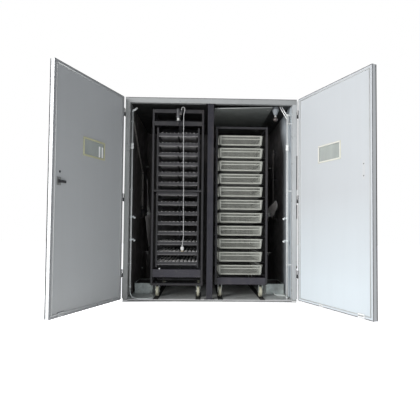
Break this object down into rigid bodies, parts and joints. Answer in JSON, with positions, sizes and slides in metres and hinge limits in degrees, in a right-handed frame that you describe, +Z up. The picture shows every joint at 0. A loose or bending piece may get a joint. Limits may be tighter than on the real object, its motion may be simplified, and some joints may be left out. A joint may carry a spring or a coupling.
{
  "type": "egg incubator",
  "caption": "Two-door cabinet incubator for eggs: a setter trolley with tilting trays, a hatcher trolley with sliding baskets, side fans, spray pipes and water pans.",
  "frame": {"origin": "centre of the cabinet underside", "axes": "+Z up, +X towards the hatcher side, -Y out through the doors"},
  "size_m": [2.913, 2.3506, 2.368],
  "materials": {
    "cabinet_steel": "satin",
    "frame_steel": "satin",
    "post_steel": "satin",
    "hinge_steel": "brushed",
    "motor_paint": "satin",
    "heater_steel": "dull",
    "galvanised": "galvanised",
    "pipe_plastic": "matte",
    "control_plastic": "matte",
    "hose_plastic": "gloss",
    "fan_steel": "satin",
    "door_steel": "satin",
    "trim_aluminium": "satin",
    "glass": "clear",
    "lock_metal": "brushed",
    "lever_plastic": "matte",
    "trolley_paint": "satin",
    "wheel_nylon": "matte",
    "cable_plastic": "gloss",
    "plug_plastic": "gloss",
    "tray_plastic": "matte",
    "basket_plastic": "matte"
  },
  "bodies": {
    "cabinet": {"floor_panel": "cabinet_steel", "left_wall": "cabinet_steel", "right_wall": "cabinet_steel", "rear_wall": "cabinet_steel", "roof": "cabinet_steel", "front_frame": "frame_steel", "centre_post": "post_steel", "cabinet_hinges": "hinge_steel", "fan_motors": "motor_paint", "heater_tubes": "heater_steel", "water_pans": "galvanised", "spray_pipes": "pipe_plastic", "ceiling_fittings": "galvanised", "control_box": "control_plastic", "water_hose": "hose_plastic"},
    "left_fan": {"left_fan": "fan_steel"},
    "right_fan": {"right_fan": "fan_steel"},
    "left_door": {"left_door_panel": "door_steel", "left_door_trim": "trim_aluminium", "left_door_glass": "glass", "lock_case": "lock_metal"},
    "lock_lever": {"lock_lever": "lever_plastic"},
    "right_door": {"right_door_panel": "door_steel", "right_door_trim": "trim_aluminium", "right_door_glass": "glass"},
    "setter_trolley": {"setter_frame": "trolley_paint", "motor_cable": "cable_plastic", "cable_plug": "plug_plastic"},
    "left_tie_bar": {"left_tie_bar": "trolley_paint"},
    "right_tie_bar": {"right_tie_bar": "trolley_paint"},
    "setter_front_wheels": {"setter_front_wheels": "wheel_nylon"},
    "setter_rear_wheels": {"setter_rear_wheels": "wheel_nylon"},
    "hatcher_trolley": {"hatcher_frame": "trolley_paint"},
    "hatcher_front_wheels": {"hatcher_front_wheels": "wheel_nylon"},
    "hatcher_rear_wheels": {"hatcher_rear_wheels": "wheel_nylon"},
    "setter_layer_01": {"setter_layer_01": "tray_plastic"},
    "setter_layer_02": {"setter_layer_02": "tray_plastic"},
    "setter_layer_03": {"setter_layer_03": "tray_plastic"},
    "setter_layer_04": {"setter_layer_04": "tray_plastic"},
    "setter_layer_05": {"setter_layer_05": "tray_plastic"},
    "setter_layer_06": {"setter_layer_06": "tray_plastic"},
    "setter_layer_07": {"setter_layer_07": "tray_plastic"},
    "setter_layer_08": {"setter_layer_08": "tray_plastic"},
    "setter_layer_09": {"setter_layer_09": "tray_plastic"},
    "setter_layer_10": {"setter_layer_10": "tray_plastic"},
    "setter_layer_11": {"setter_layer_11": "tray_plastic"},
    "setter_layer_12": {"setter_layer_12": "tray_plastic"},
    "setter_layer_13": {"setter_layer_13": "tray_plastic"},
    "setter_layer_14": {"setter_layer_14": "tray_plastic"},
    "hatching_basket_01": {"hatching_basket_01": "basket_plastic"},
    "hatching_basket_02": {"hatching_basket_02": "basket_plastic"},
    "hatching_basket_03": {"hatching_basket_03": "basket_plastic"},
    "hatching_basket_04": {"hatching_basket_04": "basket_plastic"},
    "hatching_basket_05": {"hatching_basket_05": "basket_plastic"},
    "hatching_basket_06": {"hatching_basket_06": "basket_plastic"},
    "hatching_basket_07": {"hatching_basket_07": "basket_plastic"},
    "hatching_basket_08": {"hatching_basket_08": "basket_plastic"},
    "hatching_basket_09": {"hatching_basket_09": "basket_plastic"},
    "hatching_basket_10": {"hatching_basket_10": "basket_plastic"},
    "hatching_basket_11": {"hatching_basket_11": "basket_plastic"}
  },
  "joints": [
    {"name": "left_door_swing", "type": "hinge", "parent": "cabinet", "child": "left_door", "pos_m": [-0.992, -0.722, 1.172], "axis": [0, 0, -1], "range_deg": [-115, 60]},
    {"name": "right_door_swing", "type": "hinge", "parent": "cabinet", "child": "right_door", "pos_m": [0.992, -0.722, 1.172], "axis": [0, 0, 1], "range_deg": [-115, 60]},
    {"name": "lock_lever_turn", "type": "hinge", "parent": "left_door", "child": "lock_lever", "pos_m": [-1.39048, -1.54578, 1.237], "axis": [0.9063, -0.4226, 0], "range_deg": [0, 40]},
    {"name": "left_fan_spin", "type": "hinge", "parent": "cabinet", "child": "left_fan", "pos_m": [-0.838, 0.17, 1.032], "axis": [1, 0, 0], "continuous": true},
    {"name": "right_fan_spin", "type": "hinge", "parent": "cabinet", "child": "right_fan", "pos_m": [0.838, 0.17, 1.032], "axis": [1, 0, 0], "continuous": true},
    {"name": "setter_trolley_roll", "type": "slide", "parent": "cabinet", "child": "setter_trolley", "axis": [0, -1, 0], "range_m": [0, 1]},
    {"name": "hatcher_trolley_roll", "type": "slide", "parent": "cabinet", "child": "hatcher_trolley", "axis": [0, -1, 0], "range_m": [0, 1]},
    {"name": "setter_front_wheels_spin", "type": "hinge", "parent": "setter_trolley", "child": "setter_front_wheels", "pos_m": [-0.372, -0.525, 0.0933], "axis": [1, 0, 0], "continuous": true},
    {"name": "setter_rear_wheels_spin", "type": "hinge", "parent": "setter_trolley", "child": "setter_rear_wheels", "pos_m": [-0.372, 0.225, 0.0933], "axis": [1, 0, 0], "continuous": true},
    {"name": "hatcher_front_wheels_spin", "type": "hinge", "parent": "hatcher_trolley", "child": "hatcher_front_wheels", "pos_m": [0.3585, -0.525, 0.0933], "axis": [1, 0, 0], "continuous": true},
    {"name": "hatcher_rear_wheels_spin", "type": "hinge", "parent": "hatcher_trolley", "child": "hatcher_rear_wheels", "pos_m": [0.3585, 0.325, 0.0933], "axis": [1, 0, 0], "continuous": true},
    {"name": "setter_layer_01_tilt", "type": "hinge", "parent": "setter_trolley", "child": "setter_layer_01", "pos_m": [-0.386, -0.159, 1.941], "axis": [0, 1, 0], "range_deg": [-45, 45]},
    {"name": "setter_layer_02_tilt", "type": "hinge", "parent": "setter_trolley", "child": "setter_layer_02", "pos_m": [-0.386, -0.159, 1.82438], "axis": [0, 1, 0], "range_deg": [-45, 45]},
    {"name": "setter_layer_03_tilt", "type": "hinge", "parent": "setter_trolley", "child": "setter_layer_03", "pos_m": [-0.386, -0.159, 1.70777], "axis": [0, 1, 0], "range_deg": [-45, 45]},
    {"name": "setter_layer_04_tilt", "type": "hinge", "parent": "setter_trolley", "child": "setter_layer_04", "pos_m": [-0.386, -0.159, 1.59115], "axis": [0, 1, 0], "range_deg": [-45, 45]},
    {"name": "setter_layer_05_tilt", "type": "hinge", "parent": "setter_trolley", "child": "setter_layer_05", "pos_m": [-0.386, -0.159, 1.47454], "axis": [0, 1, 0], "range_deg": [-45, 45]},
    {"name": "setter_layer_06_tilt", "type": "hinge", "parent": "setter_trolley", "child": "setter_layer_06", "pos_m": [-0.386, -0.159, 1.35792], "axis": [0, 1, 0], "range_deg": [-45, 45]},
    {"name": "setter_layer_07_tilt", "type": "hinge", "parent": "setter_trolley", "child": "setter_layer_07", "pos_m": [-0.386, -0.159, 1.24131], "axis": [0, 1, 0], "range_deg": [-45, 45]},
    {"name": "setter_layer_08_tilt", "type": "hinge", "parent": "setter_trolley", "child": "setter_layer_08", "pos_m": [-0.386, -0.159, 1.12469], "axis": [0, 1, 0], "range_deg": [-45, 45]},
    {"name": "setter_layer_09_tilt", "type": "hinge", "parent": "setter_trolley", "child": "setter_layer_09", "pos_m": [-0.386, -0.159, 1.00808], "axis": [0, 1, 0], "range_deg": [-45, 45]},
    {"name": "setter_layer_10_tilt", "type": "hinge", "parent": "setter_trolley", "child": "setter_layer_10", "pos_m": [-0.386, -0.159, 0.89146], "axis": [0, 1, 0], "range_deg": [-45, 45]},
    {"name": "setter_layer_11_tilt", "type": "hinge", "parent": "setter_trolley", "child": "setter_layer_11", "pos_m": [-0.386, -0.159, 0.77485], "axis": [0, 1, 0], "range_deg": [-45, 45]},
    {"name": "setter_layer_12_tilt", "type": "hinge", "parent": "setter_trolley", "child": "setter_layer_12", "pos_m": [-0.386, -0.159, 0.65823], "axis": [0, 1, 0], "range_deg": [-45, 45]},
    {"name": "setter_layer_13_tilt", "type": "hinge", "parent": "setter_trolley", "child": "setter_layer_13", "pos_m": [-0.386, -0.159, 0.54162], "axis": [0, 1, 0], "range_deg": [-45, 45]},
    {"name": "setter_layer_14_tilt", "type": "hinge", "parent": "setter_trolley", "child": "setter_layer_14", "pos_m": [-0.386, -0.159, 0.425], "axis": [0, 1, 0], "range_deg": [-45, 45]},
    {"name": "left_tie_bar_link", "type": "hinge", "parent": "setter_layer_01", "child": "left_tie_bar", "pos_m": [-0.627, -0.552, 1.941], "axis": [0, 1, 0], "range_deg": [-45, 45]},
    {"name": "right_tie_bar_link", "type": "hinge", "parent": "setter_layer_01", "child": "right_tie_bar", "pos_m": [-0.145, -0.552, 1.941], "axis": [0, 1, 0], "range_deg": [-45, 45]},
    {"name": "hatching_basket_01_slide", "type": "slide", "parent": "hatcher_trolley", "child": "hatching_basket_01", "axis": [0, -1, 0], "range_m": [0, 0.5]},
    {"name": "hatching_basket_02_slide", "type": "slide", "parent": "hatcher_trolley", "child": "hatching_basket_02", "axis": [0, -1, 0], "range_m": [0, 0.5]},
    {"name": "hatching_basket_03_slide", "type": "slide", "parent": "hatcher_trolley", "child": "hatching_basket_03", "axis": [0, -1, 0], "range_m": [0, 0.5]},
    {"name": "hatching_basket_04_slide", "type": "slide", "parent": "hatcher_trolley", "child": "hatching_basket_04", "axis": [0, -1, 0], "range_m": [0, 0.5]},
    {"name": "hatching_basket_05_slide", "type": "slide", "parent": "hatcher_trolley", "child": "hatching_basket_05", "axis": [0, -1, 0], "range_m": [0, 0.5]},
    {"name": "hatching_basket_06_slide", "type": "slide", "parent": "hatcher_trolley", "child": "hatching_basket_06", "axis": [0, -1, 0], "range_m": [0, 0.5]},
    {"name": "hatching_basket_07_slide", "type": "slide", "parent": "hatcher_trolley", "child": "hatching_basket_07", "axis": [0, -1, 0], "range_m": [0, 0.5]},
    {"name": "hatching_basket_08_slide", "type": "slide", "parent": "hatcher_trolley", "child": "hatching_basket_08", "axis": [0, -1, 0], "range_m": [0, 0.5]},
    {"name": "hatching_basket_09_slide", "type": "slide", "parent": "hatcher_trolley", "child": "hatching_basket_09", "axis": [0, -1, 0], "range_m": [0, 0.5]},
    {"name": "hatching_basket_10_slide", "type": "slide", "parent": "hatcher_trolley", "child": "hatching_basket_10", "axis": [0, -1, 0], "range_m": [0, 0.5]},
    {"name": "hatching_basket_11_slide", "type": "slide", "parent": "hatcher_trolley", "child": "hatching_basket_11", "axis": [0, -1, 0], "range_m": [0, 0.5]}
  ],
  "couplings": [
    {"joint": "setter_front_wheels_spin", "follows": "setter_trolley_roll", "rad_per_m": 16.667},
    {"joint": "setter_rear_wheels_spin", "follows": "setter_trolley_roll", "rad_per_m": 16.667},
    {"joint": "hatcher_front_wheels_spin", "follows": "hatcher_trolley_roll", "rad_per_m": 16.667},
    {"joint": "hatcher_rear_wheels_spin", "follows": "hatcher_trolley_roll", "rad_per_m": 16.667},
    {"joint": "setter_layer_02_tilt", "follows": "setter_layer_01_tilt", "ratio": 1},
    {"joint": "setter_layer_03_tilt", "follows": "setter_layer_01_tilt", "ratio": 1},
    {"joint": "setter_layer_04_tilt", "follows": "setter_layer_01_tilt", "ratio": 1},
    {"joint": "setter_layer_05_tilt", "follows": "setter_layer_01_tilt", "ratio": 1},
    {"joint": "setter_layer_06_tilt", "follows": "setter_layer_01_tilt", "ratio": 1},
    {"joint": "setter_layer_07_tilt", "follows": "setter_layer_01_tilt", "ratio": 1},
    {"joint": "setter_layer_08_tilt", "follows": "setter_layer_01_tilt", "ratio": 1},
    {"joint": "setter_layer_09_tilt", "follows": "setter_layer_01_tilt", "ratio": 1},
    {"joint": "setter_layer_10_tilt", "follows": "setter_layer_01_tilt", "ratio": 1},
    {"joint": "setter_layer_11_tilt", "follows": "setter_layer_01_tilt", "ratio": 1},
    {"joint": "setter_layer_12_tilt", "follows": "setter_layer_01_tilt", "ratio": 1},
    {"joint": "setter_layer_13_tilt", "follows": "setter_layer_01_tilt", "ratio": 1},
    {"joint": "setter_layer_14_tilt", "follows": "setter_layer_01_tilt", "ratio": 1},
    {"joint": "left_tie_bar_link", "follows": "setter_layer_01_tilt", "ratio": -1},
    {"joint": "right_tie_bar_link", "follows": "setter_layer_01_tilt", "ratio": -1}
  ]
}
